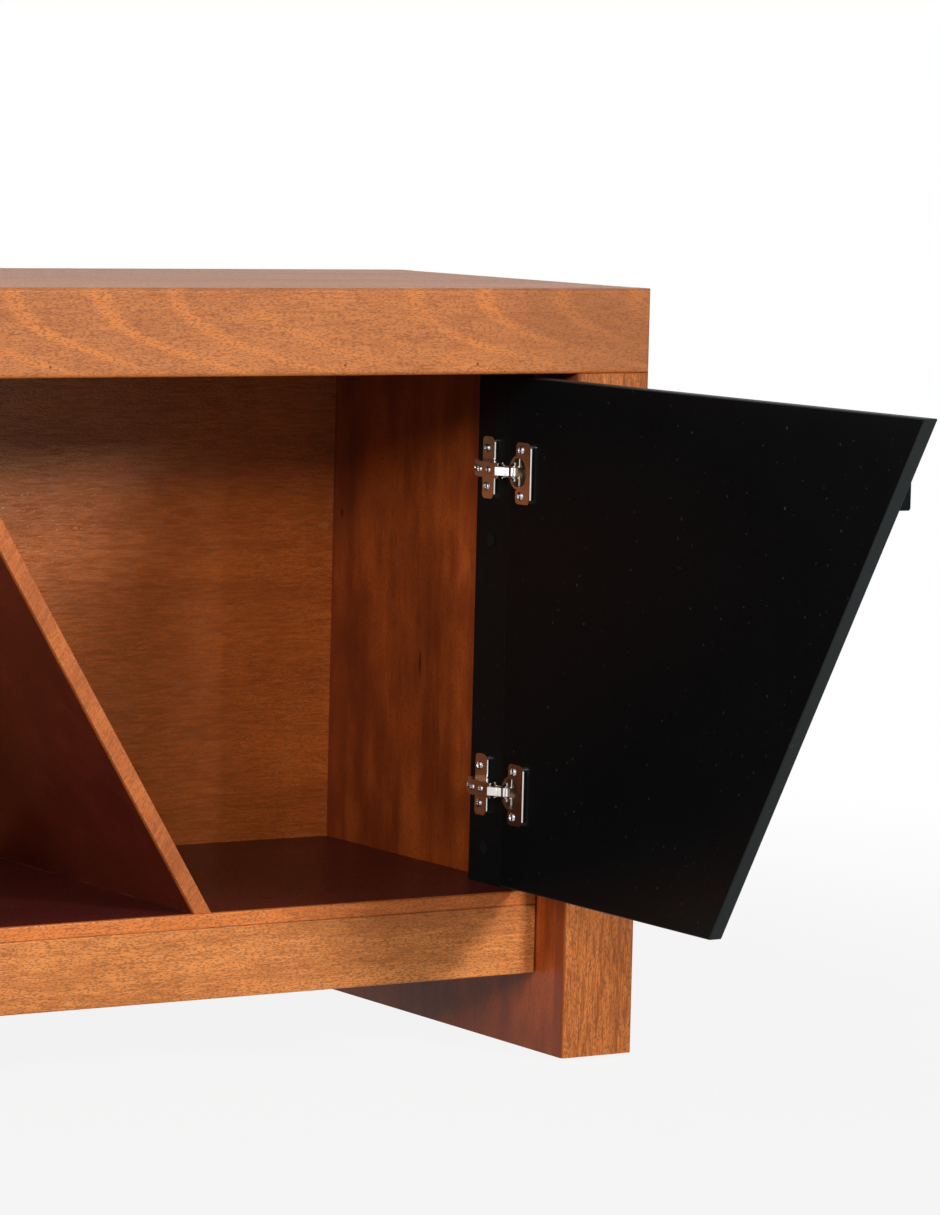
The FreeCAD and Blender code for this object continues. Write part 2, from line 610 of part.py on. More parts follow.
def door_board():
    """The door board, open 90 degrees: long at the top, short at the bottom, with a slanted free edge."""
    slant = DOOR_GAP / LEAN_COS + HINGE_GAP
    foot = DIVIDER_FOOT + LEAN * (DOOR_BOTTOM - BAY_FLOOR) - slant
    head = DIVIDER_HEAD - LEAN * (TOP_Z - DOOR_TOP) - slant
    outline = [
        door_spot(0, 0, DOOR_BOTTOM), door_spot(foot, 0, DOOR_BOTTOM),
        door_spot(head, 0, DOOR_TOP), door_spot(0, 0, DOOR_TOP),
    ]
    board = prism(outline, V(DOOR_T, 0, 0))
    cuts = [rod(CUP_R + DOWEL_FIT, door_spot(CUP_ALONG, 0, z), V(1, 0, 0), CUP_DEPTH) for z in HINGE_ZS]
    for z in HINGE_ZS:
        cuts += cup_screws(z, SCREW_FIT) + [link_slot(z)]
    cuts.append(knob_stud(head, SCREW_FIT))
    return cut(board, cuts), head


def knob_place(head):
    """Middle of the knob on the outer face, near the upper end of the slanted edge."""
    z = DOOR_TOP - KNOB_BELOW_TOP
    return door_spot(head - LEAN * KNOB_BELOW_TOP - KNOB_FROM_EDGE, DOOR_T, z)


def knob_stud(head, fit=0.0):
    """The stud that screws the knob into the door."""
    return rod(KNOB_STUD_R + fit, knob_place(head), V(-1, 0, 0), KNOB_STUD + fit)


def knob(head):
    """Square knob on a round neck."""
    seat = knob_place(head)
    x0 = seat.x + KNOB_NECK
    half = KNOB / 2
    body = box(x0, x0 + KNOB_BODY, seat.y - half, seat.y + half, seat.z - half, seat.z + half)
    body = rounded(body, KNOB_ROUND, lambda e: line_along(e, V(1, 0, 0)))
    face = [e for e in body.Edges if e.BoundBox.XMin > x0 + KNOB_BODY - 1e-6]
    body = body.makeChamfer(KNOB_CHAMFER, face).Solids[0]
    neck = rod(KNOB_NECK_R, seat, V(1, 0, 0), KNOB_NECK + KNOB_ROUND)
    return joined(body, neck, knob_stud(head))


def moved(solids, opening, pivot, turn):
    """Turns solids about a pivot of the cabinet, from the open door to another opening."""
    out = []
    for solid in solids:
        copy = solid.copy()
        copy.rotate(pivot, UP, turn * (opening - 90))
        out.append(copy)
    return out


def with_door(solids, opening):
    """Moves solids with the door, from the open door to another opening."""
    out = []
    for solid in solids:
        copy = solid.copy()
        copy.rotate(short_pin, UP, opening - 90)
        copy.translate(on_door(short_pin, opening) - short_pin)
        out.append(copy)
    return out


def both(make):
    """One piece for the lower hinge and one for the upper."""
    made = []
    for z in HINGE_ZS:
        piece = make(z)
        made += piece if isinstance(piece, list) else [piece]
    return made


board, door_head = door_board()
batten_y0 = CARCASE_Y + BATTEN_FROM
batten = box(END_X - BATTEN_T, END_X, batten_y0, batten_y0 + BATTEN_W, BAY_FLOOR, TOP_Z)
batten_holes = batten_screws(SCREW_FIT) + [h for z in HINGE_ZS for h in plate_screws(z, SCREW_FIT)]
caps = [rod(CAP_R, V(END_X - BATTEN_T, BATTEN_MID_Y, z), V(-1, 0, 0), CAP_T) for z in CAP_ZS]
fixed_pieces = {
    "hinge_batten": [cut(batten, batten_holes)],
    "hinge_plates": both(mounting_plate),
    "hinge_arms": both(hinge_arm),
}
door_pieces = {
    "door": [board],
    "knob": [knob(door_head)],
    "hinge_cups": both(hinge_cup),
    "hinge_cup_screws": both(cup_screws),
    "hinge_cup_pins": both(cup_pins),
}
for side, opening in (("right_", RIGHT_OPEN_DEG), ("left_", LEFT_OPEN_DEG)):
    pieces = dict(fixed_pieces)
    pieces["hinge_short_links"] = moved(both(short_link), opening, short_pivot, SHORT_TURN)
    pieces["hinge_long_links"] = moved(both(long_link), opening, long_pivot, LONG_TURN)
    for name, solids in door_pieces.items():
        pieces[name] = with_door(solids, opening)
    for name, solids in pieces.items():
        add(side + name, *[mirrored(s) if side == "left_" else s for s in solids])

# Fixings that are the same on both ends share one piece each
fixings = {
    "batten_screws": batten_screws(),
    "batten_caps": caps,
    "hinge_plate_screws": both(plate_screws),
    "hinge_arm_screws": both(arm_screws),
    "hinge_arm_pins": both(arm_pins),
    "base_bolts": base_bolts(),
}
for name, solids in fixings.items():
    add(name, *solids, *[mirrored(s) for s in solids])

os.makedirs("parts", exist_ok=True)
for name, solids in nodes.items():
    shape = solids[0] if len(solids) == 1 else Part.makeCompound(solids)
    shape.exportStep("parts/" + name + ".step")
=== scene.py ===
import json
import math

import bmesh
import bpy
from mathutils import Matrix, Vector


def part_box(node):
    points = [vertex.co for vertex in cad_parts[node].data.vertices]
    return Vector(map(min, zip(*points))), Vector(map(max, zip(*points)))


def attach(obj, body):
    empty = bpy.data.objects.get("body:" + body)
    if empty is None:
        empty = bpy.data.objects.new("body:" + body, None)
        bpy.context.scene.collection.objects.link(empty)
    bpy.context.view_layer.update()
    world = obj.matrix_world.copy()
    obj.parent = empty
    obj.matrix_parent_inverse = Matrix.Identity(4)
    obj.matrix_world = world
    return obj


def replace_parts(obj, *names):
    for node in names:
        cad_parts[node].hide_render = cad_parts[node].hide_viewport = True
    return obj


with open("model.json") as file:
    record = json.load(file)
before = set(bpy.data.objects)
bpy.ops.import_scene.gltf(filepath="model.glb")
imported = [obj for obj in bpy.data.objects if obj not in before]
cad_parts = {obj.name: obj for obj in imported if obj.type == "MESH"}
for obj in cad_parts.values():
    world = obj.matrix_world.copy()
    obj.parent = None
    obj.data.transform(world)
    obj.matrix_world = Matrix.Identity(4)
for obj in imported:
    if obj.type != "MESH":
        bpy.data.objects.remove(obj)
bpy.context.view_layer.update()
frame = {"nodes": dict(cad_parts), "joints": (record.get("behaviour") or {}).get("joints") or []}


# The thick top is a hollow box: a frame of solid lippings with a veneered skin glued on above and below.
# It is stained red-brown and lacquered satin. Its front lipping is flat-sawn, so pale rings slope across it
# at the left and run level at the right, and the pins that hold it are stopped with dark filler.
class Grain:
    """A socket of a finish. Sums and products of sockets become Math nodes."""

    def __init__(self, tree, socket):
        self.tree = tree
        self.socket = socket

    def node(self, kind, settings, sockets, output=0):
        """Adds a node, sets its settings, fills its sockets and gives one of its outputs."""
        added = self.tree.nodes.new("ShaderNode" + kind)
        for name, value in settings.items():
            setattr(added, name, value)
        for key, value in sockets.items():
            if isinstance(value, Grain):
                self.tree.links.new(value.socket, added.inputs[key])
            else:
                added.inputs[key].default_value = value
        return Grain(self.tree, added.outputs[output])

    def math(self, operation, first, second):
        return self.node("Math", {"operation": operation}, {0: first, 1: second})

    def __add__(self, other):
        return self.math("ADD", self, other)

    def __sub__(self, other):
        return self.math("SUBTRACT", self, other)

    def __mul__(self, other):
        return self.math("MULTIPLY", self, other)

    __radd__ = __add__

    def step(self, low, high):
        """A soft step from 0 at low to 1 at high."""
        settings = {"interpolation_type": "SMOOTHSTEP"}
        return self.node("MapRange", settings, {"Value": self, "From Min": low, "From Max": high})

    def tint(self, first, second):
        """A colour: the first where this is 0, the second where it is 1."""
        return self.node("Mix", {"data_type": "RGBA"}, {0: self, 6: first, 7: second}, 2)

    def noise(self, scale, detail=2.0, rough=0.5, output=0):
        """Noise at this place, with so many cells to the metre on each axis. Output 1 is a direction."""
        place = self.node("Mapping", {}, {"Vector": self, "Scale": scale})
        sockets = {"Vector": place, "Scale": 1.0, "Detail": detail, "Roughness": rough}
        return self.node("TexNoise", {}, sockets, output)

    def turned(self, turn):
        """This place turned, so that the grain runs along X."""
        return self.node("Mapping", {}, {"Vector": self, "Rotation": turn})

    def swayed(self, scale, reach):
        """This place pushed about by slow noise, so that the grain wanders."""
        sockets = {0: self.noise(scale, output=1), 1: (reach, reach, reach), 2: self}
        return self.node("VectorMath", {"operation": "MULTIPLY_ADD"}, sockets)

    def axis(self, number):
        """X, Y or Z of this place."""
        return self.node("SeparateXYZ", {}, {0: self}, number)

    def apart(self, middle, squeeze=(1.0, 1.0, 1.0)):
        """How far this place is from a middle, with each axis squeezed."""
        away = self.node("VectorMath", {"operation": "SUBTRACT"}, {0: self, 1: middle})
        flat = self.node("VectorMath", {"operation": "MULTIPLY"}, {0: away, 1: squeeze})
        return self.node("VectorMath", {"operation": "LENGTH"}, {0: flat}, 1)

    def spot(self, middle, radius, squeeze=(1.0, 1.0, 1.0)):
        """1 within a small spot and 0 outside, with a soft rim."""
        return self.apart(middle, squeeze).step(radius * 1.4, radius * 0.6)


def new_finish(name, constants):
    """A material with its shader's constants set, and the place on the piece as a socket."""
    material = bpy.data.materials.new(name)
    material.use_nodes = True
    tree = material.node_tree
    shader = tree.nodes["Principled BSDF"]
    for key, value in constants.items():
        shader.inputs[key].default_value = value
    coordinates = tree.nodes.new("ShaderNodeTexCoord")
    return material, shader, Grain(tree, coordinates.outputs["Object"])


def lay_on(shader, colour, roughness, height, depth):
    """Feeds a finish's colour, roughness and relief to its shader."""
    relief = height.node("Bump", {}, {"Strength": 1.0, "Distance": depth, "Height": height})
    for key, socket in (("Base Color", colour), ("Roughness", roughness), ("Normal", relief)):
        colour.tree.links.new(socket.socket, shader.inputs[key])


def shade(red, green, blue):
    return (red, green, blue, 1.0)


CLEAR = shade(1.0, 1.0, 1.0)
ALONG_X = (0.0, 0.0, 0.0)
UPRIGHT = (0.0, math.radians(90), 0.0)


def veneer(
    name, dark, light, pore, turn=ALONG_X, gloss=0.40, spec=0.2, glow=CLEAR, pitted=0.55, silk=0.14,
    streaks=0.36, relief=0.0001, ior=1.5, marks=None,
):
    """Stained, satin-lacquered wood: broad tone, ribbons, fibres and open pores along the grain.

    marks is a function that adds what only one piece has.
    """
    constants = {"Specular IOR Level": spec, "Specular Tint": glow, "IOR": ior}
    material, shader, place = new_finish(name, constants)
    grain = place.turned(turn).swayed((5.0, 12.0, 12.0), 0.012)
    broad = grain.noise((1.3, 11.0, 11.0), 3.0, 0.6)
    blotch = grain.noise((17.0, 34.0, 34.0), 2.0)
    ribbon = grain.noise((4.0, 70.0, 70.0), 2.0)
    fibre = grain.noise((40.0, 480.0, 480.0), 3.0, 0.7)
    pores = grain.noise((330.0, 1150.0, 1150.0), 0.6).step(0.50, 0.62)
    tone = (broad * 0.36 + blotch * (0.50 - streaks) + ribbon * 0.14 + fibre * streaks).step(0.38, 0.62)
    colour = tone.tint(dark, light)
    if marks:
        colour = marks(place, colour)
    colour = (pores * pitted).tint(colour, pore)
    rough = gloss - silk / 2 + fibre * silk + pores * 0.10
    lay_on(shader, colour, rough, fibre * 0.35 - pores * 0.6, relief)
    return material


def dress(material, *names):
    """Gives nodes of the frame a finish."""
    for name in names:
        for place in frame["nodes"][name].material_slots:
            place.material = material


TOP_LOW, TOP_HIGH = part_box("top_front_lipping")
PIN_XS = (-0.62, -0.41, -0.12, 0.241, 0.506, 0.631)
PIN_UP = 0.0085
PIN_R = 0.0011
RING_MIDDLE = (2.5, 0.0, TOP_HIGH.z - 0.005)
RING_STRETCH = (0.0808, 0.0, 1.0)
RING_FIRST = 0.1852
RING_STEP = 0.0058
RING_DRIFT = 1.6
RING_PALE = shade(0.700, 0.225, 0.052)
DARKER_END = (0.765, TOP_LOW.y, 0.625)
DARKER_END_R = 0.055
DARKER_END_STRETCH = (0.55, 0.0, 1.0)
DARKER_END_BROWN = shade(0.235, 0.078, 0.024)
WORN_HIGHLIGHT_TOP = TOP_LOW.z + 0.0042
WORN_HIGHLIGHT_FULL = TOP_LOW.z + 0.0012
WORN_HIGHLIGHT_BROWN = shade(0.66, 0.190, 0.040)
FILLER = shade(0.050, 0.014, 0.006)


def front_marks(place, colour):
    """Pale sloping rings, a darker patch at the right end, a lower edge worn lighter with a painted
    highlight on it, and stopped pin holes.
    """
    drift = place.noise((9.0, 9.0, 30.0), 3.0)
    rings = (place.apart(RING_MIDDLE, RING_STRETCH) - RING_FIRST) * (2 * math.pi / RING_STEP)
    turns = rings + drift * RING_DRIFT - RING_DRIFT / 2
    wave = turns.math("COSINE", turns, 0.0)
    faint = place.noise((5.0, 5.0, 16.0), 2.0).step(0.32, 0.60)
    colour = (wave.step(0.45, 1.0) * faint * 0.75).tint(colour, RING_PALE)
    # A darker patch towards the right end.
    colour = (place.spot(DARKER_END, DARKER_END_R, DARKER_END_STRETCH) * 0.45).tint(colour, DARKER_END_BROWN)
    # The rounded lower edge is worn lighter, and this lighter band is also a painted highlight.
    colour = (place.axis(2).step(WORN_HIGHLIGHT_TOP, WORN_HIGHLIGHT_FULL) * 0.6).tint(colour, WORN_HIGHLIGHT_BROWN)
    for x in PIN_XS:
        pin = place.spot((x, TOP_LOW.y, TOP_LOW.z + PIN_UP), PIN_R)
        colour = (pin * 0.85).tint(colour, FILLER)
    return colour


RED_BROWN_DARK = shade(0.372, 0.114, 0.032)
RED_BROWN_LIGHT = shade(0.600, 0.205, 0.060)
PORE_BROWN = shade(0.200, 0.064, 0.024)
top_front_wood = veneer("top_front_wood", RED_BROWN_DARK, RED_BROWN_LIGHT, PORE_BROWN, marks=front_marks)
top_wood = veneer("top_wood", RED_BROWN_DARK, RED_BROWN_LIGHT, PORE_BROWN)
dress(top_front_wood, "top_front_lipping")
dress(top_wood, "top_back_lipping", "top_left_lipping", "top_right_lipping", "top_upper_skin")

# The thick ends are built like the top, from lippings, skins and core blocks, with their grain upright.
# Outside and in front they are stained much like the top; the inner faces were stained redder, and the
# cheek of the front lipping, where the stain soaked into solid wood, is darker still.
END_INNER_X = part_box("right_end_inner_skin")[0].x
INNER_DARK = shade(0.265, 0.044, 0.0078)
INNER_LIGHT = shade(0.640, 0.134, 0.0210)
INNER_PORE = shade(0.170, 0.030, 0.006)
CHEEK_TO = END_INNER_X + 0.0026
CHEEK_FULL = END_INNER_X + 0.0002
CHEEK_BROWN = shade(0.260, 0.044, 0.0085)
PAINTED_SHADE_BACK_YS = (-0.06, 0.19)
PAINTED_SHADE_HIGH_ZS = (0.45, 0.575)
PAINTED_SHADE_LOW_ZS = (0.135, 0.110)
PAINTED_SHADE_BROWN = shade(0.115, 0.019, 0.0045)
FLECK = (END_INNER_X, 0.0376, 0.310)
FLECK_R = 0.0018
FLECK_STRETCH = (1.0, 1.0, 0.17)
WALL_KNOT = (END_INNER_X, 0.174, 0.430)
WALL_KNOT_R = 0.0030
WALL_KNOT_STRETCH = (1.0, 1.0, 0.7)
FLECK_BROWN = shade(0.060, 0.009, 0.003)


def cheek_marks(place, colour):
    """The inner cheek of an end's lipping takes the stain darker than its front."""
    x = place.axis(0)
    return x.math("ABSOLUTE", x, 0.0).step(CHEEK_TO, CHEEK_FULL).tint(colour, CHEEK_BROWN)


def wall_marks(place, colour):
    """Painted shade towards the back, under the top and at the foot, broken into clouds; then a dark fleck
    and a small knot.
    """
    cloud = place.noise((16.0, 16.0, 10.0), 3.0).step(0.30, 0.70)
    # Painted shade: the wall is darker towards the back, under the top and below the floor's level.
    deep = place.axis(1).step(*PAINTED_SHADE_BACK_YS) * 0.36
    high = place.axis(2).step(*PAINTED_SHADE_HIGH_ZS) * 0.50
    low = place.axis(2).step(*PAINTED_SHADE_LOW_ZS) * 0.35
    colour = ((deep + high + low) * (cloud * 0.7 + 0.5)).tint(colour, PAINTED_SHADE_BROWN)
    colour = (place.spot(FLECK, FLECK_R, FLECK_STRETCH) * 0.9).tint(colour, FLECK_BROWN)
    return (place.spot(WALL_KNOT, WALL_KNOT_R, WALL_KNOT_STRETCH) * 0.8).tint(colour, FLECK_BROWN)


end_wood = veneer(
    "end_wood", shade(0.250, 0.062, 0.010), shade(0.640, 0.192, 0.040), PORE_BROWN, UPRIGHT, pitted=0.70,
    streaks=0.60, marks=cheek_marks,
)
end_inner_wood = veneer(
    "end_inner_wood", INNER_DARK, INNER_LIGHT, INNER_PORE, UPRIGHT, gloss=0.36, pitted=0.40,
    streaks=0.16, marks=wall_marks,
)
for side in ("left", "right"):
    dress(end_wood, side + "_end_front_lipping", side + "_end_back_lipping", side + "_end_outer_skin")
    dress(end_inner_wood, side + "_end_inner_skin")

# Ribs and blocks of plain softwood fill the top and the ends, and beech dowels join the boards.
# They are sawn and left raw, because nobody sees them once the boards are closed.
core_wood = veneer(
    "core_wood", shade(0.50, 0.34, 0.19), shade(0.68, 0.49, 0.29), shade(0.33, 0.20, 0.10), gloss=0.7,
    pitted=0.4,
)
dress(core_wood, "top_core_ribs", "left_end_core_blocks", "right_end_core_blocks")
dress(core_wood, "top_dowels", "divider_dowels")


# The carcase's floor is a thin board in a dark red stain, as is the top's lower skin, with a lighter lipping
# in front. Under it an apron, a back rail and cross bearers make the base that the middle foot carries. The
# edges are eased by sanding, so a dark line shows where lipping and apron meet, and dust lies on the floor.
SHARP_TURN = math.radians(30)
SMOOTH_TURN = math.radians(28)
SAME_WAY = 0.95


def made(name, bm, body, slot, *finishes):
    """Turns a finished bmesh into a piece of a body."""
    mesh = bpy.data.meshes.new(name)
    bm.to_mesh(mesh)
    bm.free()
    for finish in finishes:
        mesh.materials.append(finish)
    piece = bpy.data.objects.new(name, mesh)
    bpy.context.scene.collection.objects.link(piece)
    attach(piece, body)
    return piece


def merged(node):
    """A bmesh copy of a node, with its triangles joined into whole faces."""
    bm = bmesh.new()
    bm.from_mesh(frame["nodes"][node].data)
    bmesh.ops.remove_doubles(bm, verts=bm.verts, dist=1e-6)
    bmesh.ops.dissolve_limit(
        bm, angle_limit=math.radians(1.0), use_dissolve_boundaries=False, verts=bm.verts, edges=bm.edges,
    )
    return bm


def sharp_edges(bm, least):
    """Edges at which the surface turns sharply and which are longer than the least length."""
    turned = [edge for edge in bm.edges if edge.is_manifold and edge.calc_face_angle(0.0) > SHARP_TURN]
    return [edge for edge in turned if edge.calc_length() > least]


def broken(bm, edges, width):
    """Rounds edges, and tags the faces that this makes."""
    rounded = bmesh.ops.bevel(
        bm, geom=edges, offset=width, affect="EDGES", segments=2, profile=0.5, material=-1,
        clamp_overlap=True,
    )["faces"]
    for face in rounded:
        face.tag = True


def smoothed(bm):
    """Smooth shading that keeps flat faces flat: it stops at each rounded edge and at each sharp one."""
    for face in bm.faces:
        face.smooth = True
    for edge in bm.edges:
        tags = {face.tag for face in edge.link_faces}
        edge.smooth = len(tags) == 1 and edge.calc_face_angle(0.0) < SMOOTH_TURN


def eased(node, body, slot, width, *finishes, least=0.0, change=None):
    """A copy of a node with its sharp edges broken, which stands for it. A second finish goes on its edges.

    Edges up to the least length, such as those of bores, stay sharp. change is a function that adds to the
    copy before that.
    """
    bm = merged(node)
    if change:
        change(bm)
    broken(bm, sharp_edges(bm, least), width)
    smoothed(bm)
    if len(finishes) > 1:
        flat = max(bm.faces, key=lambda face: face.calc_area()).normal.copy()
        for face in bm.faces:
            face.material_index = int(abs(face.normal.dot(flat)) < SAME_WAY)
    piece = made(node + "_eased", bm, body, slot, *finishes)
    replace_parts(piece, node)
    return piece


FLOOR_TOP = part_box("floor_board")[1].z
DIVIDER_FOOT_X = 0.4015
DIVIDER_DUST_FROM = DIVIDER_FOOT_X - 0.0030
DIVIDER_DUST_FULL = DIVIDER_FOOT_X - 0.0008
DIVIDER_DUST_TO = DIVIDER_FOOT_X + 0.0008
END_DUST_FROM = END_INNER_X - 0.0028
END_DUST_FULL = END_INNER_X - 0.0006
DUST = shade(0.200, 0.105, 0.050)
DUST_R = 0.0011
DUST_SPECKS = ((0.392, 0.020), (0.395, -0.073), (0.7067, -0.0077), (0.7167, -0.0433), (0.36, -0.118))


def floor_marks(place, colour):
    """Dust along the foot of the dividers and of the ends, and a few loose specks."""
    x = place.axis(0)
    across = x.math("ABSOLUTE", x, 0.0)
    patchy = place.noise((60.0, 26.0, 60.0), 3.0).step(0.42, 0.66)
    by_divider = across.step(DIVIDER_DUST_FROM, DIVIDER_DUST_FULL)
    by_divider = by_divider * across.step(DIVIDER_DUST_TO, DIVIDER_FOOT_X)
    by_end = across.step(END_DUST_FROM, END_DUST_FULL)
    colour = ((by_divider + by_end) * patchy * 0.75).tint(colour, DUST)
    for speck_x, speck_y in DUST_SPECKS:
        colour = place.spot((speck_x, speck_y, FLOOR_TOP), DUST_R).tint(colour, DUST)
    return colour


DARK_RED_DARK = shade(0.084, 0.0115, 0.0055)
DARK_RED_LIGHT = shade(0.151, 0.0210, 0.0095)
DARK_RED_PORE = shade(0.045, 0.008, 0.004)
BASE_EDGE = 0.0012
floor_wood = veneer(
    "floor_wood", shade(0.060, 0.0090, 0.0080), shade(0.112, 0.0165, 0.0125), DARK_RED_PORE, gloss=0.34,
    marks=floor_marks,
)
ceiling_wood = veneer("ceiling_wood", DARK_RED_DARK, DARK_RED_LIGHT, DARK_RED_PORE, gloss=0.40)
lipping_wood = veneer("lipping_wood", shade(0.500, 0.128, 0.027), shade(0.820, 0.242, 0.056), PORE_BROWN)
apron_wood = veneer("apron_wood", shade(0.460, 0.140, 0.033), shade(0.820, 0.295, 0.078), PORE_BROWN)
dress(floor_wood, "floor_board")
dress(ceiling_wood, "top_lower_skin")
dress(apron_wood, "back_base_rail", "base_bearers")
eased("floor_lipping", "stand", "veneer", BASE_EDGE, lipping_wood)
eased("front_apron", "stand", "veneer", BASE_EDGE, apron_wood)

# The back panel is thin golden-brown veneer on board, pinned in behind the carcase with its grain level.
# It is satin enough to glow where it mirrors the light, and its fibres curl a little near the right end,
# round a small knot.
SHADE_ZS = (0.46, 0.57)
SHADE_BROWN = shade(0.150, 0.033, 0.006)
CURL_XS = (0.45, 0.65)
CURL_GOLD = shade(0.780, 0.230, 0.045)
KNOT = (0.7207, 0.189, 0.4181)
KNOT_STRETCH = (0.5, 0.0, 1.0)
KNOT_RIM_R = 0.0056
KNOT_RIM = shade(0.230, 0.050, 0.009)
KNOT_HEART_R = 0.0030
KNOT_HEART = shade(0.800, 0.255, 0.055)


def curl_and_shade_marks(place, colour):
    """Painted shade towards the top, cross-grain curl in short waves, and one knot."""
    # Painted shade: the panel darkens towards its top, under the top's overhang.
    colour = (place.axis(2).step(*SHADE_ZS) * 0.42).tint(colour, SHADE_BROWN)
    wave = place.noise((48.0, 9.0, 9.0), 2.0).step(0.50, 0.72)
    colour = (wave * place.axis(0).step(*CURL_XS) * 0.14).tint(colour, CURL_GOLD)
    colour = (place.spot(KNOT, KNOT_RIM_R, KNOT_STRETCH) * 0.4).tint(colour, KNOT_RIM)
    return (place.spot(KNOT, KNOT_HEART_R, KNOT_STRETCH) * 0.45).tint(colour, KNOT_HEART)


back_wood = veneer(
    "back_wood", shade(0.410, 0.084, 0.0085), shade(0.690, 0.158, 0.0190), shade(0.220, 0.046, 0.008),
    gloss=0.27, spec=1.0, glow=shade(1.0, 0.70, 0.46), silk=0.50, relief=0.00018, ior=1.64, marks=curl_and_shade_marks,
)
dress(back_wood, "back_panel")

# Two leaning dividers split the carcase into bays, dark red on their faces, with lighter lippings in front.
# The grain runs up their slope; dowels hold them to the floor and the top.
DIVIDER_RUN = 0.262
DIVIDER_RISE = 0.434
LEAN = math.atan2(DIVIDER_RUN, DIVIDER_RISE)
DIVIDER_EDGE = 0.0006
for side, lean in (("right", -LEAN), ("left", LEAN)):
    slope = (0.0, math.radians(90) + lean, 0.0)
    divider_wood = veneer(
        side + "_divider_wood", DARK_RED_DARK, DARK_RED_LIGHT, DARK_RED_PORE, slope, gloss=0.36,
    )
    edge_wood = veneer(
        side + "_edge_wood", shade(0.395, 0.097, 0.022), shade(0.655, 0.185, 0.045), PORE_BROWN, slope,
        gloss=0.42,
    )
    dress(divider_wood, side + "_divider")
    eased(side + "_divider_lipping", "stand", "veneer", DIVIDER_EDGE, edge_wood)


# The doors are boards of fine fibreboard sprayed black: satin faces with a faint orange peel and a few
# specks of dust, and edges sanded a little matter and greyer. Battens, knobs and caps are sprayed with them.
GREY_DUST = shade(0.055, 0.050, 0.046)


def dimmed(tone, share):
    """A tone made darker or lighter."""
    return shade(*[part * share for part in tone])


def lacquer(name, tone, gloss, specks):
    """Sprayed black: a faint cloud, fine orange peel, and specks of dust caught in it."""
    material, shader, place = new_finish(name, {"Specular IOR Level": 0.06})
    dust = place.noise((260.0, 260.0, 260.0), 0.0).step(0.80, 0.83) * specks
    cloud = place.noise((9.0, 9.0, 9.0), 3.0)
    colour = dust.tint(cloud.tint(dimmed(tone, 0.85), dimmed(tone, 1.15)), GREY_DUST)
    peel = place.noise((420.0, 420.0, 420.0), 2.0)
    lay_on(shader, colour, cloud * 0.10 + gloss, peel + dust, 0.00002)
    return material


door_black = lacquer("door_black", (0.0025, 0.0037, 0.0042), gloss=0.26, specks=0.6)
edge_black = lacquer("edge_black", (0.0205, 0.0235, 0.0235), gloss=0.45, specks=0.3)
batten_black = lacquer("batten_black", (0.0040, 0.0052, 0.0056), gloss=0.32, specks=0.3)
cap_black = lacquer("cap_black", (0.0070, 0.0084, 0.0088), gloss=0.40, specks=0.3)
DOOR_EDGE = 0.0011
DOOR_LEAST = 0.0115
KNOB_EDGE = 0.0003
BATTEN_EDGE = 0.0008
BATTEN_LEAST = 0.02
CAP_EDGE = 0.0004
for side in ("left", "right"):
    door = side + "_door"
    eased(door, door, "black_lacquer", DOOR_EDGE, door_black, edge_black, least=DOOR_LEAST)
    eased(side + "_knob", door, "black_lacquer", KNOB_EDGE, door_black)
    eased(side + "_hinge_batten", "stand", "black_lacquer", BATTEN_EDGE, batten_black, least=BATTEN_LEAST)
eased("batten_caps", "stand", "black_lacquer", CAP_EDGE, cap_black)


# The cup hinges are pressed from sheet steel and nickel-plated: plates on the battens, cranked arms,
# riveted links and cups let into the doors. Their sheared edges were tumbled, so they shine.
def plating(name, tone, gloss):
    """Plated metal with a faint haze and fine scratches."""
    material, shader, place = new_finish(name, {"Metallic": 1.0})
    haze = place.noise((190.0, 190.0, 190.0), 3.0)
    fine = place.noise((1500.0, 1500.0, 300.0), 2.0)
    colour = haze.tint(dimmed(tone, 0.86), shade(*tone))
    lay_on(shader, colour, haze * 0.08 + fine * 0.06 + gloss, fine, 0.000006)
    return material


nickel = plating("nickel", (0.76, 0.71, 0.65), gloss=0.10)
# A lighter copy of the nickel with a satin finish, for the long links: its lighter tone is a painted
# highlight.
satin_highlight_nickel = plating("satin_highlight_nickel", (0.90, 0.88, 0.85), gloss=0.26)
# A darker, browner copy of the nickel: painted shade for the hollows of the cups.
painted_shade_nickel = plating("painted_shade_nickel", (0.30, 0.22, 0.16), gloss=0.30)
zinc = plating("zinc", (0.72, 0.75, 0.79), gloss=0.16)
TO_FRONT = Vector((0, -1, 0))
TO_BACK = Vector((0, 1, 0))
TO_LEFT = Vector((-1, 0, 0))
TO_RIGHT = Vector((1, 0, 0))
CUP_WAYS = {"left": (TO_RIGHT, TO_BACK), "right": (TO_FRONT, TO_LEFT)}
PLATE_WAYS = {"left": (TO_FRONT, TO_RIGHT), "right": (TO_FRONT, TO_LEFT)}
BEAD_R = 0.0014
BEAD_PARTS = 8
CUP_SPANS = ((-0.0213, 0.0213),)
PLATE_SPANS = ((-0.0218, -0.0070), (0.0070, 0.0218))
ARM_LOW, ARM_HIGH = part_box("right_hinge_arms")
PLATE_LEVEL = -ARM_HIGH.x
ARM_HALF = 0.0066
HINGE_ZS = (ARM_LOW.z + ARM_HALF, ARM_HIGH.z - ARM_HALF)
ARM_SHEET = 0.0010
ARM_WEB_Y = -0.13179
HOOD_END_Y = -0.1414
HOOD_LIP = 0.0026
NOSE = (0.6959, -0.1396)
LINK_HALF = 0.0036
LINK_PIVOT = Vector(next(j["pos_m"] for j in frame["joints"] if j["name"] == "right_long_link_pivot"))
SHUT_TURN = math.radians(31.32)
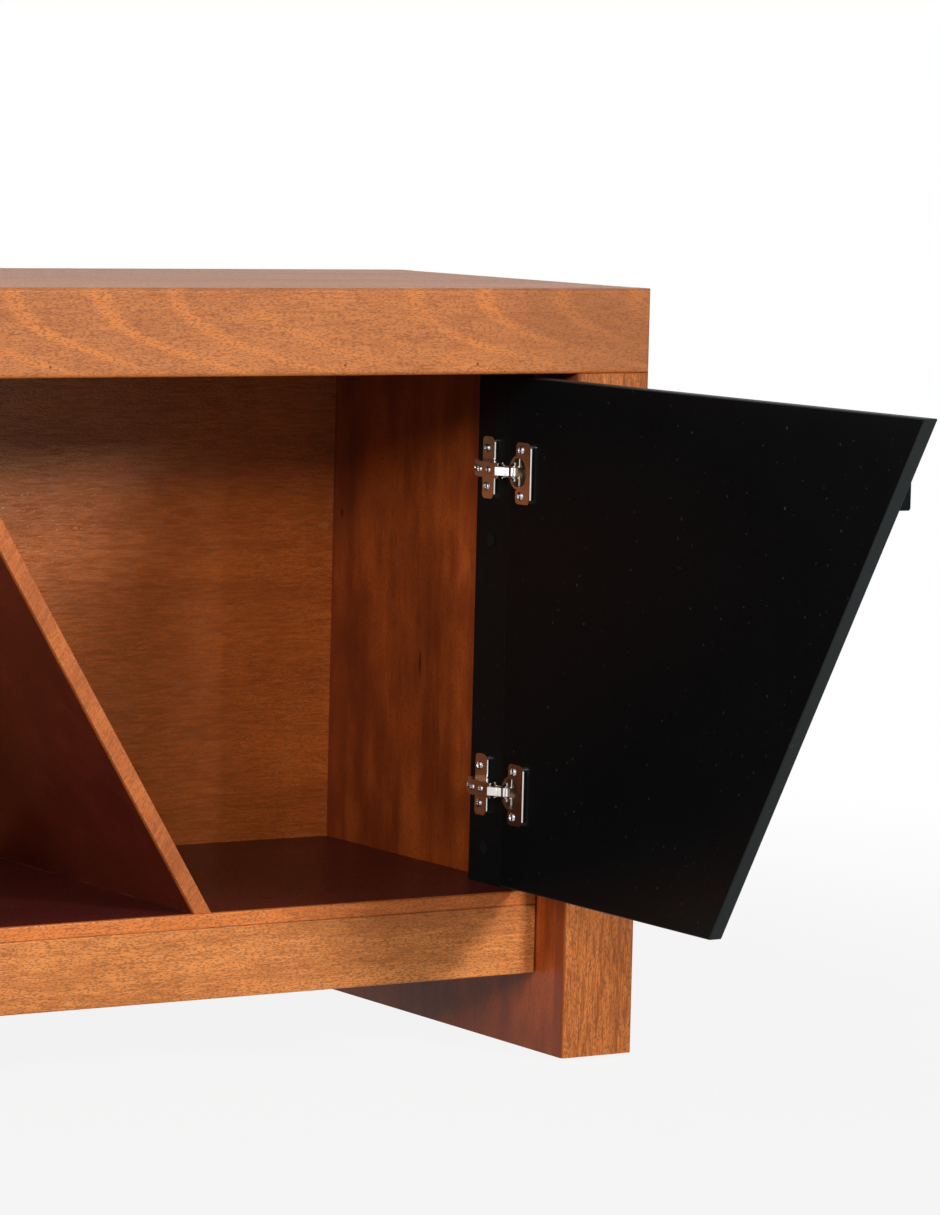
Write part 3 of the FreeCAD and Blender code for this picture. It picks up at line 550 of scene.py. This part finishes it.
RAMP_TOP = Vector((0.6866, -0.1424, 0.0))
RAMP_FOOT_Y = -0.1507
RAMP_IN_X = 0.6926
RAMP_SLOPE = math.radians(30)
FLANGE_DEEP = 0.0031
PLATE_EDGE = 0.0004
ARM_EDGE = 0.0002
CUP_EDGE = 0.0003
LONG_LINK_EDGE = 0.0003
SHORT_LINK_EDGE = 0.0002


def verts_of(parts):
    """The vertices among what an operator made."""
    return [part for part in parts if isinstance(part, bmesh.types.BMVert)]


def bar(bm, outline, z0, z1):
    """A closed bar that stands on an outline in X and Y."""
    face = bm.faces.new([bm.verts.new((x, y, z0)) for x, y in outline])
    top = verts_of(bmesh.ops.extrude_face_region(bm, geom=[face])["geom"])
    bmesh.ops.translate(bm, vec=(0.0, 0.0, z1 - z0), verts=top)
    solid = {near for vert in top for near in vert.link_faces} | set(face.verts[0].link_faces)
    bmesh.ops.recalc_face_normals(bm, faces=list(solid))


def beaded(bm, ways, level, spans):
    """Rolls the long free edges of a plate or a flange: a half-round bead on the side that the ways name."""
    side, face = ways
    middle = side * max(vert.co.dot(side) for vert in bm.verts) + face * (level - BEAD_R)
    turns = [math.pi * k / BEAD_PARTS for k in range(BEAD_PARTS + 1)]
    outline = [(middle + (face * math.cos(t) + side * math.sin(t)) * BEAD_R).xy for t in turns]
    for z in HINGE_ZS:
        for low, high in spans:
            bar(bm, outline, z + low, z + high)


def hooded(bm, flip):
    """Draws the arm's web out over the links, as a hood with a cheek on each side."""
    outside = ARM_LOW.x
    inside = outside + ARM_SHEET
    web = [(outside, ARM_WEB_Y), (outside, HOOD_END_Y), (inside, HOOD_END_Y), (inside, ARM_WEB_Y)]
    cheek = [(inside, ARM_WEB_Y), (inside, HOOD_END_Y), (outside + HOOD_LIP, HOOD_END_Y), NOSE]
    for z in HINGE_ZS:
        bar(bm, [(flip * x, y) for x, y in web], z - ARM_HALF, z + ARM_HALF)
        for z0 in (z - ARM_HALF, z + ARM_HALF - ARM_SHEET):
            bar(bm, [(flip * x, y) for x, y in cheek], z0, z0 + ARM_SHEET)


def ramped(bm, side):
    """Gives the long link its sloping outer face: the bend cut back to the slope, and a ramp up to the hood.

    The work is done where the right link rests, so the left one is turned there and back.
    """
    pose = Matrix.Identity(4)
    if side == "left":
        turn = Matrix.Rotation(SHUT_TURN, 4, "Z")
        swing = Matrix.Translation(LINK_PIVOT) @ turn @ Matrix.Translation(-LINK_PIVOT)
        pose = Matrix.Scale(-1, 4, TO_RIGHT) @ swing
    bmesh.ops.transform(bm, matrix=pose.inverted(), verts=bm.verts)
    outward = Vector((-math.cos(RAMP_SLOPE), -math.sin(RAMP_SLOPE), 0.0))
    whole = bm.verts[:] + bm.edges[:] + bm.faces[:]
    cut = bmesh.ops.bisect_plane(
        bm, geom=whole, plane_co=RAMP_TOP, plane_no=outward, clear_outer=True,
    )["geom_cut"]
    bmesh.ops.edgenet_fill(bm, edges=[part for part in cut if isinstance(part, bmesh.types.BMEdge)])
    foot_x = RAMP_TOP.x + (RAMP_TOP.y - RAMP_FOOT_Y) * math.tan(RAMP_SLOPE)
    ramp = [RAMP_TOP.xy, (foot_x, RAMP_FOOT_Y), (RAMP_IN_X, RAMP_FOOT_Y), (RAMP_IN_X, RAMP_TOP.y)]
    for z in HINGE_ZS:
        bar(bm, ramp, z - LINK_HALF, z + LINK_HALF)
    bmesh.ops.transform(bm, matrix=pose, verts=bm.verts)
    bmesh.ops.recalc_face_normals(bm, faces=bm.faces)


for side, flip in (("left", -1), ("right", 1)):
    eased(
        side + "_hinge_plates", "stand", "nickel", PLATE_EDGE, nickel,
        change=lambda bm: beaded(bm, PLATE_WAYS[side], PLATE_LEVEL, PLATE_SPANS),
    )
    eased(side + "_hinge_arms", "stand", "nickel", ARM_EDGE, nickel, change=lambda bm: hooded(bm, flip))
    outward = CUP_WAYS[side][1]
    flange_at = max(vert.co.dot(outward) for vert in frame["nodes"][side + "_hinge_cups"].data.vertices)
    cups = eased(
        side + "_hinge_cups", side + "_door", "nickel", CUP_EDGE, nickel,
        change=lambda bm: beaded(bm, CUP_WAYS[side], flange_at, CUP_SPANS),
    )
    # Faces deep in each cup take the darker nickel, as painted shade in the hollow.
    cups.data.materials.append(painted_shade_nickel)
    for face in cups.data.polygons:
        face.material_index = int(face.center.dot(outward) < flange_at - FLANGE_DEEP)
    # The long links take the lighter satin nickel, a painted highlight.
    eased(
        side + "_hinge_long_links", side + "_long_links", "nickel", LONG_LINK_EDGE, satin_highlight_nickel,
        change=lambda bm: ramped(bm, side),
    )
    eased(side + "_hinge_short_links", side + "_short_links", "nickel", SHORT_LINK_EDGE, nickel)
    dress(nickel, side + "_hinge_cup_pins")
dress(nickel, "hinge_arm_pins")

# Cross-head screws hold plates, arms and cups, and the back panel: zinc-plated, with a low dome, a pressed
# cross recess and a pointed shank. Apart from the head's thickness, lengths here are shares of its radius.
RECESS_HALF = 0.17
RECESS_REACH = 0.66
CROSS_LINES = (-1.0, -RECESS_REACH, -RECESS_HALF, RECESS_HALF, RECESS_REACH, 1.0)
CROSS_CELLS = len(CROSS_LINES) - 1
RECESS_TAPER = 0.6
RECESS_DEEP = 0.4
DOME = 0.24
HEAD_THICK = 0.0018
SHANK_SHARE = 0.48
TIP_LONG = 0.6
TIP_SHARE = 0.1
HEAD_SHARP = math.radians(40)
HEAD_EDGE = 0.06
SCREW_SMOOTH = math.radians(32)
FIRST_STOP = 17
NEXT_STOP = 53


def cross_head(radius, length):
    """One screw, the top of its head at the origin and its shank pointing down."""
    bm = bmesh.new()
    bmesh.ops.create_grid(bm, x_segments=CROSS_CELLS, y_segments=CROSS_CELLS, size=1.0)
    for vert in bm.verts:
        flat = Vector([CROSS_LINES[round((c + 1.0) / 2 * CROSS_CELLS)] for c in vert.co.xy])
        if 1.0 in (abs(flat.x), abs(flat.y)):
            flat.normalize()
        vert.co = (flat.x, flat.y, DOME * (1.0 - flat.length_squared))
    cross = []
    for face in bm.faces:
        near, far = sorted(abs(part) for part in face.calc_center_median().xy)
        if near < RECESS_HALF and far < RECESS_REACH:
            cross.append(face)
    deep = verts_of(bmesh.ops.extrude_face_region(bm, geom=cross)["geom"])
    bmesh.ops.delete(bm, geom=[face for face in cross if face.is_valid], context="FACES")
    bmesh.ops.scale(bm, vec=(RECESS_TAPER, RECESS_TAPER, 1.0), verts=deep)
    bmesh.ops.translate(bm, vec=(0.0, 0.0, -RECESS_DEEP), verts=deep)
    thick = HEAD_THICK / radius - DOME
    shank = length / radius - thick - DOME - TIP_LONG
    for drop, size in ((thick, 1.0), (0.0, SHANK_SHARE), (shank, 1.0), (TIP_LONG, TIP_SHARE)):
        rim = [edge for edge in bm.edges if edge.is_boundary]
        ring = verts_of(bmesh.ops.extrude_edge_only(bm, edges=rim)["geom"])
        bmesh.ops.scale(bm, vec=(size, size, 1.0), verts=ring)
        bmesh.ops.translate(bm, vec=(0.0, 0.0, -drop), verts=ring)
    bmesh.ops.contextual_create(bm, geom=[edge for edge in bm.edges if edge.is_boundary])
    bmesh.ops.recalc_face_normals(bm, faces=bm.faces)
    broken(bm, [edge for edge in bm.edges if edge.calc_face_angle(0.0) > HEAD_SHARP], HEAD_EDGE)
    bmesh.ops.scale(bm, vec=(radius, radius, radius), verts=bm.verts)
    bmesh.ops.translate(bm, vec=(0.0, 0.0, -DOME * radius), verts=bm.verts)
    return bm


def screw_places(node):
    """The head's outer middle, outward direction, head radius and length of each screw of a node."""
    bm = merged(node)
    left = set(bm.verts)
    found = []
    while left:
        grown = [left.pop()]
        for vert in grown:
            near = {edge.other_vert(vert) for edge in vert.link_edges} & left
            left -= near
            grown += near
        low = Vector([min(v.co[k] for v in grown) for k in range(3)])
        high = Vector([max(v.co[k] for v in grown) for k in range(3)])
        run = max(range(3), key=lambda k: high[k] - low[k])
        across = [k for k in range(3) if k != run]
        radius = max(high[k] - low[k] for k in across) / 2
        head = (low + high) / 2
        widest = [v.co[run] for v in grown if max(abs(v.co[k] - head[k]) for k in across) > radius - 1e-5]
        upward = sum(widest) / len(widest) > head[run]
        head[run] = high[run] if upward else low[run]
        out = Vector((0.0, 0.0, 0.0))
        out[run] = 1.0 if upward else -1.0
        found.append((tuple(head), tuple(out), radius, high[run] - low[run]))
    bm.free()
    return sorted(found)


def cross_screws(name, places, body, slot):
    """Cross-head screws at these places, each stopped at its own angle."""
    bm = bmesh.new()
    for number, (head, out, radius, length) in enumerate(places):
        one = bpy.data.meshes.new("one_screw")
        screw = cross_head(radius, length)
        turn = Vector(out).to_track_quat("Z", "Y").to_matrix().to_4x4()
        spin = Matrix.Rotation(math.radians(FIRST_STOP + NEXT_STOP * number), 4, "Z")
        bmesh.ops.transform(screw, matrix=Matrix.Translation(head) @ turn @ spin, verts=screw.verts)
        screw.to_mesh(one)
        screw.free()
        bm.from_mesh(one)
        bpy.data.meshes.remove(one)
    for face in bm.faces:
        face.smooth = True
    piece = made(name, bm, body, slot, zinc)
    piece.data.set_sharp_from_angle(angle=SCREW_SMOOTH)
    return piece


for node, body, slot in (
    ("hinge_plate_screws", "stand", "nickel"), ("hinge_arm_screws", "stand", "nickel"),
    ("right_hinge_cup_screws", "right_door", "nickel"), ("left_hinge_cup_screws", "left_door", "nickel"),
    ("back_panel_screws", "stand", "plated_steel"),
):
    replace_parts(cross_screws(node + "_crossed", screw_places(node), body, slot), node)

# Two short adjusting screws sit in the web of each arm, and turn there to shift the door.
# They are steel, zinc-plated, and end clear of the long link below.
ADJUSTER_R = 0.0026
ADJUSTER_LENGTH = 0.0034
ADJUSTER_SUNK = 0.0004
ADJUSTER_YS = (-0.1140, -0.1270)
adjusters = [
    ((flip * (ARM_LOW.x - HEAD_THICK + ADJUSTER_SUNK), y, z), (-flip, 0.0, 0.0), ADJUSTER_R, ADJUSTER_LENGTH)
    for flip in (-1, 1) for y in ADJUSTER_YS for z in HINGE_ZS
]
cross_screws("hinge_adjusters", adjusters, "stand", "nickel")

# Wood screws under the caps hold the battens, and plain bolts hold the base to the ends.
# Both are zinc-plated steel, with turned heads.
BOLT_EDGE = 0.0004
dress(zinc, "batten_screws")
eased("base_bolts", "stand", "plated_steel", BOLT_EDGE, zinc)


# Nylon glides stand under the ends, a screw foot under the middle, and a ring lines the cable hole.
# Glides, foot socket and ring are moulded, with a fine spark-eroded surface and rounded rims; the foot is
# plated steel.
def moulded(name, tone, gloss):
    """Moulded plastic with a fine grit."""
    material, shader, place = new_finish(name, {})
    grit = place.noise((900.0, 900.0, 900.0), 2.0)
    cloud = place.noise((30.0, 30.0, 30.0), 2.0)
    colour = cloud.tint(dimmed(tone, 0.9), shade(*tone))
    lay_on(shader, colour, grit * 0.12 + gloss, grit, 0.00003)
    return material


nylon = moulded("nylon", (0.62, 0.60, 0.55), gloss=0.45)
black_plastic = moulded("black_plastic", (0.012, 0.012, 0.013), gloss=0.40)
MOULDED_EDGE = 0.0005
eased("floor_glides", "stand", "nylon", MOULDED_EDGE, nylon)
eased("cable_grommet", "stand", "black_plastic", MOULDED_EDGE, black_plastic)
eased("foot_socket", "stand", "black_plastic", MOULDED_EDGE, black_plastic)
dress(zinc, "centre_foot")

# The camera stands in front, beyond the left end, a little above the top, and looks towards the right end.
# Its place, turn and lens were worked out from the straight edges in the photograph.
CAMERA_AT = Vector((-1.635, -3.772, 0.793))
YAW = math.radians(32.37)
PITCH = math.radians(5.52)
CAMERA_ROLL = math.radians(1.37)
LENS_MM = 154.6
SENSOR_MM = 36.0
ahead = Vector((math.sin(YAW) * math.cos(PITCH), math.cos(YAW) * math.cos(PITCH), -math.sin(PITCH)))
level = Vector((math.cos(YAW), -math.sin(YAW), 0.0))
above = level.cross(ahead)
camera_x = math.cos(CAMERA_ROLL) * level + math.sin(CAMERA_ROLL) * above
camera_y = math.cos(CAMERA_ROLL) * above - math.sin(CAMERA_ROLL) * level
camera = bpy.data.objects.new("camera", bpy.data.cameras.new("camera"))
camera.data.lens = LENS_MM
camera.data.sensor_width = SENSOR_MM
camera.data.clip_end = 100.0
turned = Matrix((camera_x, camera_y, -ahead)).transposed().to_4x4()
camera.matrix_world = Matrix.Translation(CAMERA_AT) @ turned
bpy.context.scene.collection.objects.link(camera)
bpy.context.scene.camera = camera

# The floor is a pale matt sheet that fades to white in the picture and keeps a soft shadow.
# It isn't part of the object.
FLOOR_HALF = 30.0
FLOOR_WHITE_SHARE = 0.88
FLOOR_FADE = (1.0, 2.4)
floor_mesh = bpy.data.meshes.new("studio_floor")
bm = bmesh.new()
bmesh.ops.create_grid(bm, x_segments=1, y_segments=1, size=FLOOR_HALF)
bm.to_mesh(floor_mesh)
bm.free()
studio_floor = bpy.data.objects.new("studio_floor", floor_mesh)
bpy.context.scene.collection.objects.link(studio_floor)


def seen_directly(tree):
    """1 for rays from the camera, a mirror or a glass, and 0 for light that bounces."""
    path = tree.nodes.new("ShaderNodeLightPath")
    names = ("Is Camera Ray", "Is Glossy Ray", "Is Transmission Ray")
    straight, mirrored, through = [Grain(tree, path.outputs[name]) for name in names]
    return straight.math("MAXIMUM", straight, mirrored.math("MAXIMUM", mirrored, through))


matt_grey = {"Base Color": shade(0.45, 0.45, 0.45), "Roughness": 0.9, "Specular IOR Level": 0.0}
floor_paper, paper, ground = new_finish("floor_paper", matt_grey)
tree = floor_paper.node_tree
seen = seen_directly(tree)
white = seen.node("Emission", {}, {"Color": CLEAR, "Strength": 1.0})
far = ground.apart((0.0, 0.0, 0.0))
share = far.step(*FLOOR_FADE) * (1.0 - FLOOR_WHITE_SHARE) + FLOOR_WHITE_SHARE
mixed = seen.node("MixShader", {}, {0: seen * share, 1: Grain(tree, paper.outputs[0]), 2: white})
tree.links.new(mixed.socket, tree.nodes["Material Output"].inputs["Surface"])
floor_mesh.materials.append(floor_paper)

# The studio has a white surround, its main light at the front right, three weaker ones from the left, a weak
# one overhead and one behind. It isn't part of the object either.
AMBIENT = 0.01
world = bpy.data.worlds.new("studio")
world.use_nodes = True
bpy.context.scene.world = world
tree = world.node_tree
seen = seen_directly(tree)
strength = seen * (1.0 - AMBIENT) + AMBIENT
surround = seen.node("Background", {}, {"Color": CLEAR, "Strength": strength})
tree.links.new(surround.socket, tree.nodes["World Output"].inputs["Surface"])

LIT_MIDDLE = Vector((0.45, -0.10, 0.40))


def soft_light(name, place, target, width, height, power):
    """A soft rectangular light that shines from a place towards a target."""
    lamp = bpy.data.lights.new(name, "AREA")
    lamp.shape = "RECTANGLE"
    lamp.size = width
    lamp.size_y = height
    lamp.energy = power
    light = bpy.data.objects.new(name, lamp)
    light.location = place
    light.rotation_euler = (Vector(target) - Vector(place)).to_track_quat("-Z", "Y").to_euler()
    light.visible_camera = False
    bpy.context.scene.collection.objects.link(light)


soft_light("right_light", (2.12, -4.05, 1.82), LIT_MIDDLE, width=0.7, height=0.9, power=120.0)
soft_light("left_light", (-3.83, -1.25, 1.18), LIT_MIDDLE, width=0.5, height=0.5, power=55.0)
soft_light("left_front_light", (-1.43, -3.95, 1.79), LIT_MIDDLE, width=0.5, height=0.5, power=54.0)
soft_light("left_side_light", (-2.83, -2.85, 1.79), LIT_MIDDLE, width=0.5, height=0.5, power=26.0)
soft_light("overhead", (0.2, -0.6, 3.2), (0.2, 0.0, 0.3), width=2.6, height=1.8, power=10.0)
soft_light("back_fill", (-1.5, 4.0, 1.8), (0.0, 0.0, 0.4), width=2.4, height=1.8, power=60.0)
bpy.context.scene.view_settings.view_transform = "Standard"
